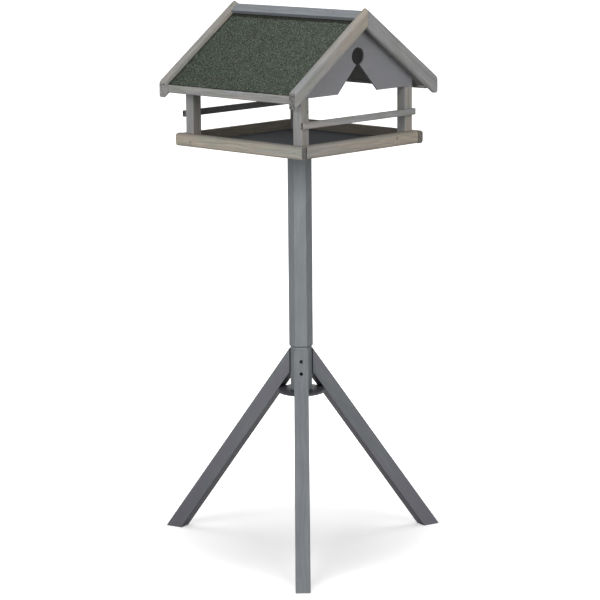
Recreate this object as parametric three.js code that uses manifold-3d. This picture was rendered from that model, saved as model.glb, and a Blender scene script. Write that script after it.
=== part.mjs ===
// Bird table: a feeding tray under a felted gable roof, on a six-sided column with three splayed legs.
// Millimetres, +Z up, ground at z = 0. The gables face -Y and +Y, and the ridge runs along Y.
import * as THREE from 'three';
import { mergeVertices } from 'three/addons/utils/BufferGeometryUtils.js';
import Module from 'manifold-3d';

const wasm = await Module();
wasm.setup();

// Shared clearances
const GAP = 0.3; // between a cut or turned piece and its neighbour, all round a screw as well
const OVERRUN = 5; // how far a cutting shape runs past what it cuts
const ARC_STEPS = 6; // straight steps in each rounded corner
const FINE_STEPS = 3; // and in the corners of small radius
const TURNED_STEPS = 24; // sides of a turned piece
const HOLE_STEPS = 16; // sides of a screw and of its hole

// Stand
const TRAY_UNDERSIDE = 911; // height of the tray's underside, where the column ends
const JOINT_HEIGHT = 460; // the upper column sits on the lower one here
const STAND_TURN = 224; // degrees: the first leg points between -X and -Y, about below a corner of the tray
const LEG_COUNT = 3;
const COLUMN_FLATS = 46.5; // across the flats
const COLUMN_EASE = 2; // radius along the column's corners
const COLUMN_CHAMFER = 2.5; // at both ends of the upper column
const LOWER_FLATS = 42;
const LOWER_LENGTH = 97.5;
const DISC_RADIUS = 52;
const DISC_THICK = 7.2;
const DISC_EASE = 1.2;
const DISC_STEPS = 60;

// Legs
const LEG_ANGLE = 36.4; // degrees from upright
const LEG_WIDTH = 32.2;
const LEG_DEPTH = 33.4;
const LEG_EASE = 1.6;
const LEG_TIP_DROP = 4; // the pointed tops end this far below the column's joint
const LEG_SCREW_DROPS = [24.4, 48.3]; // below the pointed top
const LEG_SCREW_END = 5.3; // the screws' points stop this far from the column's axis
const SINK_SEAT = 11; // wood left between the head's seat and the column
const SINK_CLEARANCE = 0.5; // round the head, in the hole that it drops into

// Screws, all of one kind but for their length
const SHANK_RADIUS = 2;
const SCREW_TIP = 5;
const PAN_RADIUS = 3.4;
const PAN_HEIGHT = 2.2;
const SUNK_RADIUS = 4; // countersunk heads
const SUNK_HEIGHT = 2;
const SLOT_WIDTH = 0.9;
const SLOT_LENGTH = 4;
const SLOT_DEPTH = 1.2;
const DISC_SCREW_LENGTH = 38;
const POST_SCREW_LENGTH = 40;
const COLUMN_SCREW_LENGTH = 45;
const COLUMN_SCREW_OFFSET = 13; // from the column's axis
const STUD_RADIUS = 4; // threaded stud inside the column's joint
const STUD_LENGTH = 56;
const STUD_BELOW = 20; // of its length, in the lower column
const STUD_EASE = 0.8;

// Tray
const TRAY_SIDE = 383;
const RAIL_HEIGHT = 28;
const RAIL_THICK = 16.5;
const RAIL_NOSE = 7; // radius on the two outer edges
const RAIL_EASE = 1.5; // radius on the two inner edges
const FLOOR_THICK = 6.5;

// Posts, perches and gable panels
const POST_SIDE = 24;
const POST_EASE = 1.6;
const PERCH_HEIGHT = 14;
const PERCH_THICK = 8;
const PERCH_EASE = 1;
const PERCH_RISE = 35; // from the rail's top to the perch's underside
const PERCH_OVERHANG = 2; // past the posts at each end
const PANEL_THICK = 4;
const PANEL_SETBACK = 0.4; // from the posts' outer sides to the panel's edge
const PANEL_RISE = 97.5; // from the rail's top to the panel's lower edge
const PANEL_EDGE = 17.5; // height of its short upright edges at the posts
const PANEL_TOP_GAP = 0.4; // upright, below the roof boards
const KEYHOLE_RADIUS = 18.5;
const KEYHOLE_RISE = 77.4; // its centre above the panel's lower edge
const NECK_WIDTH = 10;
const NOTCH_WIDTH = 124;
const KEYHOLE_STEPS = 36;

// Roof
const ROOF_PITCH = 35.3; // degrees from level
const EAVE_OVERHANG = 27; // level, roof boards past the posts at the eaves
const GABLE_OVERHANG = 12.5; // roof boards past the posts
const ROOF_BOARD_THICK = 16;
const FELT_THICK = 2;
const FELT_LAP = 0.6; // level, past the eave board's face
const RIDGE_THICK = 8;
const RIDGE_WIDTH = 25;
const EAVE_THICK = 12;
const EAVE_LIP = 6; // eave board below the roof boards' lower corner
const EAVE_NOSE = 3;
const BARGE_WIDTH = 34.5;
const BARGE_THICK = 17.5;
const BARGE_NOSE = 8;
const BARGE_PROUD = 12.8; // its crest above the felt, square to the slope
const BARGE_TAIL = 10; // level, past the eave board's face
const BARGE_TIP_ROUND = 4; // radius at its lowest corner
const BARGE_TAIL_ROUND = 16; // radius at the upper corner of the same end

// Places that follow from the sizes
const QUARTER = Math.PI / 2;
const rad = THREE.MathUtils.degToRad;
const pitch = rad(ROOF_PITCH);
const fall = Math.tan(pitch); // drop for each millimetre away from the ridge
const upright = 1 / Math.cos(pitch); // upright measure for each millimetre square to the slope
const trayHalf = TRAY_SIDE / 2;
const innerHalf = trayHalf - RAIL_THICK; // the rails' inner faces and the posts' outer faces
const postCentre = innerHalf - POST_SIDE / 2;
const floorTop = TRAY_UNDERSIDE + FLOOR_THICK;
const railTop = TRAY_UNDERSIDE + RAIL_HEIGHT;
const panelHalf = innerHalf - PANEL_SETBACK;
const panelLow = railTop + PANEL_RISE;
const roofHalfLength = innerHalf + GABLE_OVERHANG;
const roofHalfRun = innerHalf + EAVE_OVERHANG;
const eaveFace = roofHalfRun + EAVE_THICK;
const discTop = JOINT_HEIGHT - LOWER_LENGTH;
const discUnderside = discTop - DISC_THICK;
const roofUnderside = (x) => panelLow + PANEL_EDGE + PANEL_TOP_GAP + (panelHalf - Math.abs(x)) * fall;
const boardTop = (x) => roofUnderside(x) + ROOF_BOARD_THICK * upright;
const feltUnderside = (x) => boardTop(x) + GAP * upright;
const feltTop = (x) => feltUnderside(x) + FELT_THICK * upright;
const ridgeUnderside = (x) => feltTop(x) + GAP * upright;
const bargeCrest = (x) => feltTop(x) + BARGE_PROUD * upright;

// Materials
function material(color, roughness, metalness = 0) {
  return new THREE.MeshStandardMaterial({ color, roughness, metalness });
}
const washedPine = material(0x9b978c, 0.78);
const greyPaint = material(0x6f7578, 0.62);
const panelPaint = material(0x76757a, 0.55);
const ridgePaint = material(0x83898d, 0.6);
const floorPaint = material(0x43464b, 0.7);
const roofTimber = material(0x58554f, 0.85);
const greenFelt = material(0x43504a, 0.95);
const zincSteel = material(0x5d6063, 0.4, 0.85);

// Solids
function solidOf(geometry) {
  const bare = geometry.clone();
  bare.deleteAttribute('normal');
  bare.deleteAttribute('uv');
  const merged = mergeVertices(bare);
  const index = merged.index.array;
  const corners = [];
  for (let i = 0; i < index.length; i += 3) {
    const [a, b, c] = [index[i], index[i + 1], index[i + 2]];
    if (a !== b && b !== c && c !== a) corners.push(a, b, c);
  }
  return new wasm.Manifold(new wasm.Mesh({
    numProp: 3,
    vertProperties: new Float32Array(merged.attributes.position.array),
    triVerts: new Uint32Array(corners),
  }));
}

function geometryOf(solid) {
  const { vertProperties, triVerts } = solid.getMesh();
  const geometry = new THREE.BufferGeometry();
  geometry.setAttribute('position', new THREE.BufferAttribute(vertProperties, 3));
  geometry.setIndex(new THREE.BufferAttribute(triVerts, 1));
  const faceted = geometry.toNonIndexed();
  faceted.computeVertexNormals();
  return faceted;
}

const minus = (geometry, ...cuts) =>
  geometryOf(cuts.reduce((left, cut) => left.subtract(solidOf(cut)), solidOf(geometry)));
const common = (first, second) => geometryOf(solidOf(first).intersect(solidOf(second)));

// Outlines
const outline = (points) => new THREE.Shape(points.map(([x, y]) => new THREE.Vector2(x, y)));

// A board's section: inner face on x = 0, outer face on x = thick, with its own radius on either side
function boardSection(thick, height, outerRadius, innerRadius) {
  const largest = Math.min(thick, height) / 2;
  const outer = Math.min(outerRadius, largest);
  const inner = Math.min(innerRadius, largest);
  const shape = new THREE.Shape();
  shape.absarc(thick - outer, outer, outer, -QUARTER, 0, false);
  shape.absarc(thick - outer, height - outer, outer, 0, QUARTER, false);
  shape.absarc(inner, height - inner, inner, QUARTER, Math.PI, false);
  shape.absarc(inner, inner, inner, Math.PI, Math.PI + QUARTER, false);
  return shape;
}

// A six-sided section with a flat face towards +X, and its corners at the given distance from the middle
function hexCorners(flats, inset) {
  const sides = 6;
  const half = Math.PI / sides;
  const reach = (flats / 2 - inset) / Math.cos(half);
  return Array.from({ length: sides }, (_, k) => {
    const turn = (2 * k + 1) * half;
    return [reach * Math.cos(turn), reach * Math.sin(turn), turn, half];
  });
}

function easedHex(flats) {
  const shape = new THREE.Shape();
  hexCorners(flats, COLUMN_EASE).forEach(([x, y, turn, half]) => {
    shape.absarc(x, y, COLUMN_EASE, turn - half, turn + half, false);
  });
  return shape;
}

// Extrusions
function extrude(shape, depth, curveSegments = ARC_STEPS) {
  return new THREE.ExtrudeGeometry(shape, { depth, bevelEnabled: false, curveSegments });
}

// An outline drawn in x and z, run along Y from -halfLength to +halfLength
function alongY(shape, halfLength, curveSegments = ARC_STEPS) {
  return extrude(shape, 2 * halfLength, curveSegments).rotateX(QUARTER).translate(0, halfLength, 0);
}

function block(width, depth, height) {
  return new THREE.BoxGeometry(width, depth, height).translate(0, 0, height / 2);
}

// A bar of even section that leans by an angle from upright. Its outer face starts at the given x and z.
function leaningBar(section, angle, length, x, z) {
  const start = new THREE.Vector3(x - OVERRUN * Math.sin(angle), 0, z + OVERRUN * Math.cos(angle));
  return extrude(section, length + 2 * OVERRUN)
    .rotateY(Math.PI - angle)
    .translate(start.x, start.y, start.z);
}

// A round solid on +Z from [radius, height] pairs that start and end on the axis
function turned(profile, steps = TURNED_STEPS) {
  const points = profile.map(([radius, height]) => new THREE.Vector2(radius, height));
  return new THREE.LatheGeometry(points, steps).rotateX(QUARTER);
}

const rod = (radius, from, to, steps = HOLE_STEPS) =>
  turned([[0, from], [radius, from], [radius, to], [0, to]], steps);

// The six-sided column pieces stand on their lower end
const hexPost = (flats, length) => extrude(easedHex(flats), length, FINE_STEPS);

function chamferedHexPost(flats, length, chamfer) {
  const envelope = new THREE.ExtrudeGeometry(outline(hexCorners(flats, 0)), {
    depth: length - 2 * chamfer,
    bevelSegments: 1,
    bevelThickness: chamfer,
    bevelSize: chamfer,
    bevelOffset: -chamfer,
  });
  return common(hexPost(flats, length), envelope.translate(0, 0, chamfer));
}

// Screws point down -Z, with the head's seat or rim on z = 0
function crossSlot(top) {
  const arm = block(SLOT_LENGTH, SLOT_WIDTH, 2 * SLOT_DEPTH).translate(0, 0, top - SLOT_DEPTH);
  return [arm, arm.clone().rotateZ(QUARTER)];
}

function panScrew(length) {
  const body = turned([
    [0, -length], [SHANK_RADIUS, SCREW_TIP - length], [SHANK_RADIUS, 0], [PAN_RADIUS, 0],
    [PAN_RADIUS, PAN_HEIGHT / 2], [PAN_RADIUS - PAN_HEIGHT / 2, PAN_HEIGHT], [0, PAN_HEIGHT],
  ], HOLE_STEPS);
  return minus(body, ...crossSlot(PAN_HEIGHT));
}

function sunkProfile(length, extra) {
  return [
    [0, -length - extra], [SHANK_RADIUS + extra, SCREW_TIP - length], [SHANK_RADIUS + extra, -SUNK_HEIGHT],
    [SUNK_RADIUS + extra, 0], [0, 0],
  ];
}
const sunkScrew = (length) => minus(turned(sunkProfile(length, 0), HOLE_STEPS), ...crossSlot(0));

// The hole for it runs on past the rim, so that it always breaks the surface
function sunkHole(length) {
  const [tip, shank, neck, rim] = sunkProfile(length, GAP);
  return turned([tip, shank, neck, rim, [rim[0], OVERRUN], [0, OVERRUN]], HOLE_STEPS);
}

// The assembly
const table = new THREE.Group();
const stand = new THREE.Group();
stand.rotation.z = rad(STAND_TURN);
const house = new THREE.Group();
table.add(stand, house);

function add(parent, name, geometry, finish, place = {}) {
  const mesh = new THREE.Mesh(geometry, finish);
  mesh.name = name;
  mesh.position.set(place.x ?? 0, place.y ?? 0, place.z ?? 0);
  mesh.rotation.set(place.turnX ?? 0, 0, place.turnZ ?? 0);
  parent.add(mesh);
  return mesh;
}

// Where the screws and the stud go, so that each hole follows its fastener
const legFace = LOWER_FLATS / 2 + GAP;
const legTip = JOINT_HEIGHT - LEG_TIP_DROP;
const legScrewHeights = LEG_SCREW_DROPS.map((drop) => legTip - drop);
const screwSeat = legFace + SINK_SEAT;
const screwReach = screwSeat + GAP; // the pan head lies this far from the axis
const studFoot = JOINT_HEIGHT - STUD_BELOW;
const legTurns = Array.from({ length: LEG_COUNT }, (_, k) => (2 * Math.PI * k) / LEG_COUNT);
const columnScrewTurns = legTurns.map((turn) => turn + Math.PI / LEG_COUNT);
const corners = [
  [-1, -1, 'front_left'],
  [1, -1, 'front_right'],
  [-1, 1, 'back_left'],
  [1, 1, 'back_right'],
];

// Level holes that run out from the column's axis along +X
const levelRod = (radius, from, to, z) => rod(radius, from, to).rotateY(QUARTER).translate(0, 0, z);

function lowerColumn() {
  const post = hexPost(LOWER_FLATS, LOWER_LENGTH).translate(0, 0, discTop);
  const holes = legTurns.flatMap((turn) => legScrewHeights.map((z) =>
    levelRod(SHANK_RADIUS + GAP, LEG_SCREW_END - GAP, legFace + OVERRUN, z).rotateZ(turn)));
  const studHole = rod(STUD_RADIUS + GAP, studFoot - GAP, JOINT_HEIGHT + OVERRUN);
  const discHole = rod(SHANK_RADIUS + GAP, discTop - OVERRUN, discUnderside + DISC_SCREW_LENGTH + GAP);
  return minus(post, ...holes, studHole, discHole);
}

function upperColumn() {
  const length = TRAY_UNDERSIDE - JOINT_HEIGHT;
  const post = chamferedHexPost(COLUMN_FLATS, length, COLUMN_CHAMFER).translate(0, 0, JOINT_HEIGHT);
  const studHole = rod(STUD_RADIUS + GAP, JOINT_HEIGHT - OVERRUN, studFoot + STUD_LENGTH + GAP);
  const screwHoles = columnScrewTurns.map((turn) =>
    sunkHole(COLUMN_SCREW_LENGTH).translate(COLUMN_SCREW_OFFSET, 0, floorTop).rotateZ(turn));
  return minus(post, studHole, ...screwHoles);
}

function jointStud() {
  return turned([
    [0, 0], [STUD_RADIUS - STUD_EASE, 0], [STUD_RADIUS, STUD_EASE], [STUD_RADIUS, STUD_LENGTH - STUD_EASE],
    [STUD_RADIUS - STUD_EASE, STUD_LENGTH], [0, STUD_LENGTH],
  ]).translate(0, 0, studFoot);
}

// A leg leans outwards along +X: cut upright against the column, level at the ground
function leg() {
  const angle = rad(LEG_ANGLE);
  const footOuter = legFace + legTip * Math.tan(angle);
  const side = outline([
    [legFace, legTip], [legFace, legTip - LEG_DEPTH / Math.sin(angle)],
    [footOuter - LEG_DEPTH / Math.cos(angle), 0], [footOuter, 0],
  ]);
  const section = boardSection(LEG_DEPTH, LEG_WIDTH, LEG_EASE, LEG_EASE);
  const bar = leaningBar(section, angle, legTip / Math.cos(angle) + LEG_DEPTH, legFace, legTip)
    .translate(0, -LEG_WIDTH / 2, 0);
  const discNotch = rod(DISC_RADIUS + GAP, discUnderside - GAP, discTop + GAP, DISC_STEPS);
  const holes = legScrewHeights.flatMap((z) => [
    levelRod(SHANK_RADIUS + GAP, legFace - OVERRUN, screwReach, z),
    levelRod(PAN_RADIUS + SINK_CLEARANCE, screwSeat, footOuter, z),
  ]);
  return minus(common(bar, alongY(side, LEG_WIDTH)), discNotch, ...holes);
}

function spreaderDisc() {
  const disc = turned([
    [0, 0], [DISC_RADIUS - DISC_EASE, 0], [DISC_RADIUS, DISC_EASE], [DISC_RADIUS, DISC_THICK - DISC_EASE],
    [DISC_RADIUS - DISC_EASE, DISC_THICK], [0, DISC_THICK],
  ], DISC_STEPS);
  const hole = sunkHole(DISC_SCREW_LENGTH).rotateX(Math.PI);
  return minus(disc, hole).translate(0, 0, discUnderside);
}

function addStand() {
  add(stand, 'column_upper', upperColumn(), greyPaint);
  add(stand, 'column_lower', lowerColumn(), greyPaint);
  add(stand, 'column_joint_stud', jointStud(), zincSteel);
  add(stand, 'spreader_disc', spreaderDisc(), greyPaint);
  add(stand, 'disc_screw', sunkScrew(DISC_SCREW_LENGTH), zincSteel, { z: discUnderside, turnX: Math.PI });
  const legShape = leg();
  const screwShape = panScrew(screwReach - LEG_SCREW_END).rotateY(QUARTER);
  const sides = ['front', 'right', 'back'];
  legTurns.forEach((turn, k) => {
    add(stand, `leg_${sides[k]}`, legShape, greyPaint, { turnZ: turn });
    legScrewHeights.forEach((z, n) => {
      const [x, y] = [screwReach * Math.cos(turn), screwReach * Math.sin(turn)];
      const name = `leg_screw_${sides[k]}_${n === 0 ? 'upper' : 'lower'}`;
      add(stand, name, screwShape, zincSteel, { x, y, z, turnZ: turn });
    });
  });
  columnScrewTurns.forEach((turn, k) => {
    const [x, y] = [COLUMN_SCREW_OFFSET * Math.cos(turn), COLUMN_SCREW_OFFSET * Math.sin(turn)];
    const place = { x, y, z: floorTop, turnZ: turn };
    add(stand, `tray_screw_${k + 1}`, sunkScrew(COLUMN_SCREW_LENGTH), zincSteel, place);
  });
}

// The tray: a thin floor between four rails with rounded outer edges
function trayRail(halfLength) {
  const section = boardSection(RAIL_THICK, RAIL_HEIGHT, RAIL_NOSE, RAIL_EASE);
  return alongY(section, halfLength).translate(innerHalf, 0, TRAY_UNDERSIDE);
}

function trayFloor() {
  const floor = block(2 * innerHalf, 2 * innerHalf, FLOOR_THICK).translate(0, 0, TRAY_UNDERSIDE);
  const columnHole = sunkHole(COLUMN_SCREW_LENGTH).translate(COLUMN_SCREW_OFFSET, 0, floorTop);
  const columnHoles = columnScrewTurns.map((turn) => columnHole.clone().rotateZ(turn + rad(STAND_TURN)));
  const postHole = sunkHole(POST_SCREW_LENGTH).rotateX(Math.PI);
  const postHoles = corners.map(([sx, sy]) =>
    postHole.clone().translate(sx * postCentre, sy * postCentre, TRAY_UNDERSIDE));
  return minus(floor, ...columnHoles, ...postHoles);
}

function addTray() {
  add(house, 'tray_floor', trayFloor(), floorPaint);
  add(house, 'tray_rail_right', trayRail(trayHalf), washedPine);
  add(house, 'tray_rail_left', trayRail(trayHalf), washedPine, { turnZ: Math.PI });
  add(house, 'tray_rail_front', trayRail(innerHalf), washedPine, { turnZ: -QUARTER });
  add(house, 'tray_rail_back', trayRail(innerHalf), washedPine, { turnZ: QUARTER });
}

// Everything that reaches up to the roof boards ends a given upright distance below them
function belowRoof(drop) {
  const wide = trayHalf + OVERRUN;
  return alongY(outline([
    [-wide, 0], [wide, 0], [wide, roofUnderside(wide) - drop], [0, roofUnderside(0) - drop],
    [-wide, roofUnderside(wide) - drop],
  ]), wide);
}

// The posts are cut back at the gables by the panel's thickness, from its lower edge up, so it lies flush
function panelRebate(sx, sy) {
  const depth = PANEL_THICK + GAP;
  const middle = innerHalf - depth + (depth + OVERRUN) / 2;
  return block(POST_SIDE + OVERRUN, depth + OVERRUN, roofUnderside(0) - panelLow + GAP)
    .translate(sx * postCentre, sy * middle, panelLow - GAP);
}

function post(sx, sy) {
  const section = boardSection(POST_SIDE, POST_SIDE, POST_EASE, POST_EASE);
  const placed = extrude(section, roofUnderside(0) - floorTop, FINE_STEPS)
    .translate(sx * postCentre - POST_SIDE / 2, sy * postCentre - POST_SIDE / 2, floorTop);
  const screwHole = rod(SHANK_RADIUS + GAP, -OVERRUN, POST_SCREW_LENGTH + GAP)
    .translate(sx * postCentre, sy * postCentre, TRAY_UNDERSIDE);
  return minus(common(placed, belowRoof(GAP * upright)), screwHole, panelRebate(sx, sy));
}

function addPosts() {
  corners.forEach(([sx, sy, name]) => {
    add(house, `post_${name}`, post(sx, sy), washedPine);
    const place = { x: sx * postCentre, y: sy * postCentre, z: TRAY_UNDERSIDE, turnX: Math.PI };
    add(house, `post_screw_${name}`, sunkScrew(POST_SCREW_LENGTH), zincSteel, place);
  });
}

function perch() {
  const section = boardSection(PERCH_THICK, PERCH_HEIGHT, PERCH_EASE, PERCH_EASE);
  return alongY(section, innerHalf + PERCH_OVERHANG).translate(innerHalf, 0, railTop + PERCH_RISE);
}

// The gable panel fills the gable above its lower edge; a notch there runs up into a round hole
function gablePanel() {
  const eye = panelLow + KEYHOLE_RISE;
  const neckAngle = Math.asin(NECK_WIDTH / 2 / KEYHOLE_RADIUS);
  const neckHeight = eye - KEYHOLE_RADIUS * Math.cos(neckAngle);
  const shape = outline([
    [-panelHalf, panelLow], [-NOTCH_WIDTH / 2, panelLow], [-NECK_WIDTH / 2, neckHeight],
  ]);
  shape.absarc(0, eye, KEYHOLE_RADIUS, -QUARTER - neckAngle, -QUARTER + neckAngle, true);
  shape.lineTo(NOTCH_WIDTH / 2, panelLow);
  shape.lineTo(panelHalf, panelLow);
  shape.lineTo(panelHalf, panelLow + PANEL_EDGE);
  shape.lineTo(0, roofUnderside(0) - PANEL_TOP_GAP);
  shape.lineTo(-panelHalf, panelLow + PANEL_EDGE);
  return alongY(shape, PANEL_THICK / 2, KEYHOLE_STEPS);
}

function addGables() {
  const panel = gablePanel();
  [[-1, 'front'], [1, 'back']].forEach(([side, name]) => {
    add(house, `perch_${name}`, perch(), washedPine, { turnZ: side * QUARTER });
    add(house, `gable_panel_${name}`, panel, panelPaint, { y: side * (innerHalf - PANEL_THICK / 2) });
  });
}

// Roof pieces are drawn for the +X slope, and turned half round for the other
function slab(halfLength, lowest, under, over) {
  const section = outline([[0, under(0)], [lowest, under(lowest)], [lowest, over(lowest)], [0, over(0)]]);
  return alongY(section, halfLength);
}

function ridgeBoard(halfLength) {
  const along = [Math.cos(pitch), -Math.sin(pitch)];
  const square = [Math.sin(pitch), Math.cos(pitch)];
  const base = ridgeUnderside(0);
  const top = base + RIDGE_THICK * upright;
  const edge = [RIDGE_WIDTH * along[0], top + RIDGE_WIDTH * along[1]];
  const foot = [edge[0] - RIDGE_THICK * square[0], edge[1] - RIDGE_THICK * square[1]];
  return alongY(outline([[0, base], foot, edge, [0, top]]), halfLength);
}

function eaveBoard(halfLength) {
  const low = roofUnderside(roofHalfRun) - EAVE_LIP;
  const shape = outline([
    [eaveFace, boardTop(eaveFace)], [roofHalfRun, boardTop(roofHalfRun)], [roofHalfRun, low],
  ]);
  shape.absarc(eaveFace - EAVE_NOSE, low + EAVE_NOSE, EAVE_NOSE, -QUARTER, 0, false);
  return alongY(shape, halfLength);
}

// A barge board: rounded along both edges, upright at the apex and at its lower end
function bargeBoard() {
  const tip = eaveFace + BARGE_TAIL;
  const apex = GAP / 2;
  const low = (x) => bargeCrest(x) - BARGE_WIDTH * upright;
  const side = outline([[apex, bargeCrest(apex)], [apex, low(apex)]]);
  const tipHeight = low(tip) + BARGE_TIP_ROUND * (upright + fall);
  const tailHeight = bargeCrest(tip) - BARGE_TAIL_ROUND * (upright - fall);
  side.absarc(tip - BARGE_TIP_ROUND, tipHeight, BARGE_TIP_ROUND, -QUARTER - pitch, 0, false);
  side.absarc(tip - BARGE_TAIL_ROUND, tailHeight, BARGE_TAIL_ROUND, 0, QUARTER - pitch, false);
  const section = boardSection(BARGE_WIDTH, BARGE_THICK, BARGE_NOSE, BARGE_NOSE);
  const bar = leaningBar(section, QUARTER - pitch, tip * upright + BARGE_WIDTH, 0, bargeCrest(0))
    .translate(0, -BARGE_THICK / 2, 0);
  return common(bar, alongY(side, BARGE_THICK));
}

function addRoof() {
  const between = roofHalfLength - GAP;
  const feltEdge = eaveFace + FELT_LAP;
  const barge = bargeBoard();
  const bargeCentre = roofHalfLength + GAP + BARGE_THICK / 2;
  [[0, 'right'], [Math.PI, 'left']].forEach(([turnZ, name]) => {
    const board = slab(roofHalfLength, roofHalfRun, roofUnderside, boardTop);
    const felt = slab(between, feltEdge, feltUnderside, feltTop);
    add(house, `roof_board_${name}`, board, roofTimber, { turnZ });
    add(house, `eave_board_${name}`, eaveBoard(between), washedPine, { turnZ });
    add(house, `roof_felt_${name}`, felt, greenFelt, { turnZ });
    add(house, `ridge_board_${name}`, ridgeBoard(between), ridgePaint, { turnZ });
    add(house, `barge_board_front_${name}`, barge, washedPine, { y: -bargeCentre, turnZ });
    add(house, `barge_board_back_${name}`, barge, washedPine, { y: bargeCentre, turnZ });
  });
}

addStand();
addTray();
addPosts();
addGables();
addRoof();

// The origin is on the ground, in the middle of the space that the bird table takes up
const centre = new THREE.Box3().setFromObject(table).getCenter(new THREE.Vector3());
table.position.set(-centre.x, -centre.y, 0);

export default table;
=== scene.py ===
# %% [markdown]
# # A bird table, dressed in Blender
#
# The real object is a wooden bird table: a railed feeding tray under a little felted roof, on a six-sided
# column with three splayed legs. Its solids were made in a CAD program and packed as a frame. This lesson
# opens that frame and gives every piece the look of planed, washed and painted softwood, roofing felt and
# dulled steel.
#
# The frame is in metres, with +Z up and the ground at z = 0. The gables face -Y and +Y.

import math
import random

import bmesh
import bpy
from mathutils import Matrix, Vector, noise


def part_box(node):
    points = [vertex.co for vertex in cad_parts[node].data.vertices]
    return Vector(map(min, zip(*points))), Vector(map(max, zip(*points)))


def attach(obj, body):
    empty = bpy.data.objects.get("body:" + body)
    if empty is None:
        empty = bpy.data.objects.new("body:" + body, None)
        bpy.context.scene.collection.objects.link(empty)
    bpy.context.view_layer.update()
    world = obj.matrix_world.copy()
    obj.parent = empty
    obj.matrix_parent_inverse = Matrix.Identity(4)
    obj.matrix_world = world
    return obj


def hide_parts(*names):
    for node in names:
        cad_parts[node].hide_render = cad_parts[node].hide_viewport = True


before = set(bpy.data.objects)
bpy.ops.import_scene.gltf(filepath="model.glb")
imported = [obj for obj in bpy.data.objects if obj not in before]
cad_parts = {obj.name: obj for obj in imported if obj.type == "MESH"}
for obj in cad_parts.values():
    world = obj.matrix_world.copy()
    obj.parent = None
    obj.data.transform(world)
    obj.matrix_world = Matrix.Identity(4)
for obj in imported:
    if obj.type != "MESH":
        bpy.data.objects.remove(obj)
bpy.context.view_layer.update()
MM = 0.001


print("CAD nodes:", len(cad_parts))

# %% [markdown]
# ## The camera
#
# The photograph was taken from a corner of the tray, a little above it, with a long lens. Straight edges of
# the tray, the roof and the legs gave the camera's place. The picture's optical axis isn't quite in its
# middle, so the camera has a small shift, and it leans by about half a degree.
#
# A camera could also be aimed with a Track To constraint. Writing its three axes into the matrix is exact,
# and it holds the lean too.

# %% Set up the camera
def add_object(name, data):
    """A new object in the scene."""
    obj = bpy.data.objects.new(name, data)
    bpy.context.scene.collection.objects.link(obj)
    return obj


def direction(azimuth, elevation):
    """Unit vector towards a side, by angles in degrees. Azimuth 0 is -Y, and it grows towards +X."""
    a, e = math.radians(azimuth), math.radians(elevation)
    return Vector((math.sin(a) * math.cos(e), -math.cos(a) * math.cos(e), math.sin(e)))


column_low, column_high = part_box("column_upper")
axis_x, axis_y = (column_low.x + column_high.x) / 2, (column_low.y + column_high.y) / 2
place = (axis_x - 3.7787, axis_y - 3.6542, 1.5841)

backwards, lean = direction(-45.40, 10.93), math.radians(-0.60)
level_right = (-backwards).cross(Vector((0, 0, 1))).normalized()
level_up = level_right.cross(-backwards)
right = level_right * math.cos(lean) + level_up * math.sin(lean)
up = level_up * math.cos(lean) - level_right * math.sin(lean)

camera = add_object("camera", bpy.data.cameras.new("camera"))
camera.matrix_world = Matrix((*zip(right, up, backwards, place), (0, 0, 0, 1)))
camera.data.sensor_width, camera.data.lens = 36, 144.89
camera.data.shift_x, camera.data.shift_y = 0.03745, -0.00368
camera.data.clip_end = 100
bpy.context.scene.camera = camera
print("camera at", [round(v, 3) for v in camera.matrix_world.translation])

# %% [markdown]
# ## Light
#
# Small goods are photographed in a white tent, between two large soft boxes. Here they are square area lamps,
# left and right of the camera and low enough to reach under the tray. The left one is the stronger, so the
# faces turned left are the lighter ones. Area lamps also grow weaker towards the feet, as in the photograph.
#
# One lamp beside the camera would be simpler, but it would reach deep into the house, which is dark in the
# photograph. A sun lamp with a wide angle stands straight above, and puts the soft shadow between the feet.
# A faint lamp behind stands for the pale back wall, so the far side isn't black when someone walks round.
#
# All are kept at a plain level, at which a colour renders about as it is written.

# %% Hang the lights
HOUSE = Vector((axis_x, axis_y, 1.0))
LAMP_AWAY = 3.0


def lamp(name, kind, towards, strength, **settings):
    """A lamp that hangs in that direction from the house, and shines on it."""
    data = bpy.data.lights.new(name, kind)
    data.energy = strength
    for key, value in settings.items():
        setattr(data, key, value)
    obj = add_object(name, data)
    obj.location = HOUSE + towards * LAMP_AWAY
    obj.rotation_mode = "QUATERNION"
    obj.rotation_quaternion = towards.to_track_quat("Z", "Y")
    return obj


lamps = [
    lamp("left softbox", "AREA", direction(-79, 15), 64, size=2.0),
    lamp("right softbox", "AREA", direction(-14, 15), 42, size=2.0),
    lamp("back wall", "AREA", direction(135, 20), 26, size=3.0),
    lamp("overhead", "SUN", direction(0, 90), 0.8, angle=math.radians(28)),
]
print("lamps:", ", ".join(f"{one.name} {one.data.energy}" for one in lamps))

# %% [markdown]
# ## A short way to write shaders
#
# A procedural material is a formula. Written as nodes and links, one after another, the formula gets lost. So
# `Signal` wraps a socket whose value varies over the surface, and Python's own operators add the Math nodes:
# `1 - mask` or `ring * 0.2` is all there is to write.
#
# The steps that most masks need have names too. `ramp` is a Map Range node with a smooth step, which does
# the work of a Color Ramp but takes its two limits as plain numbers.

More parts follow.
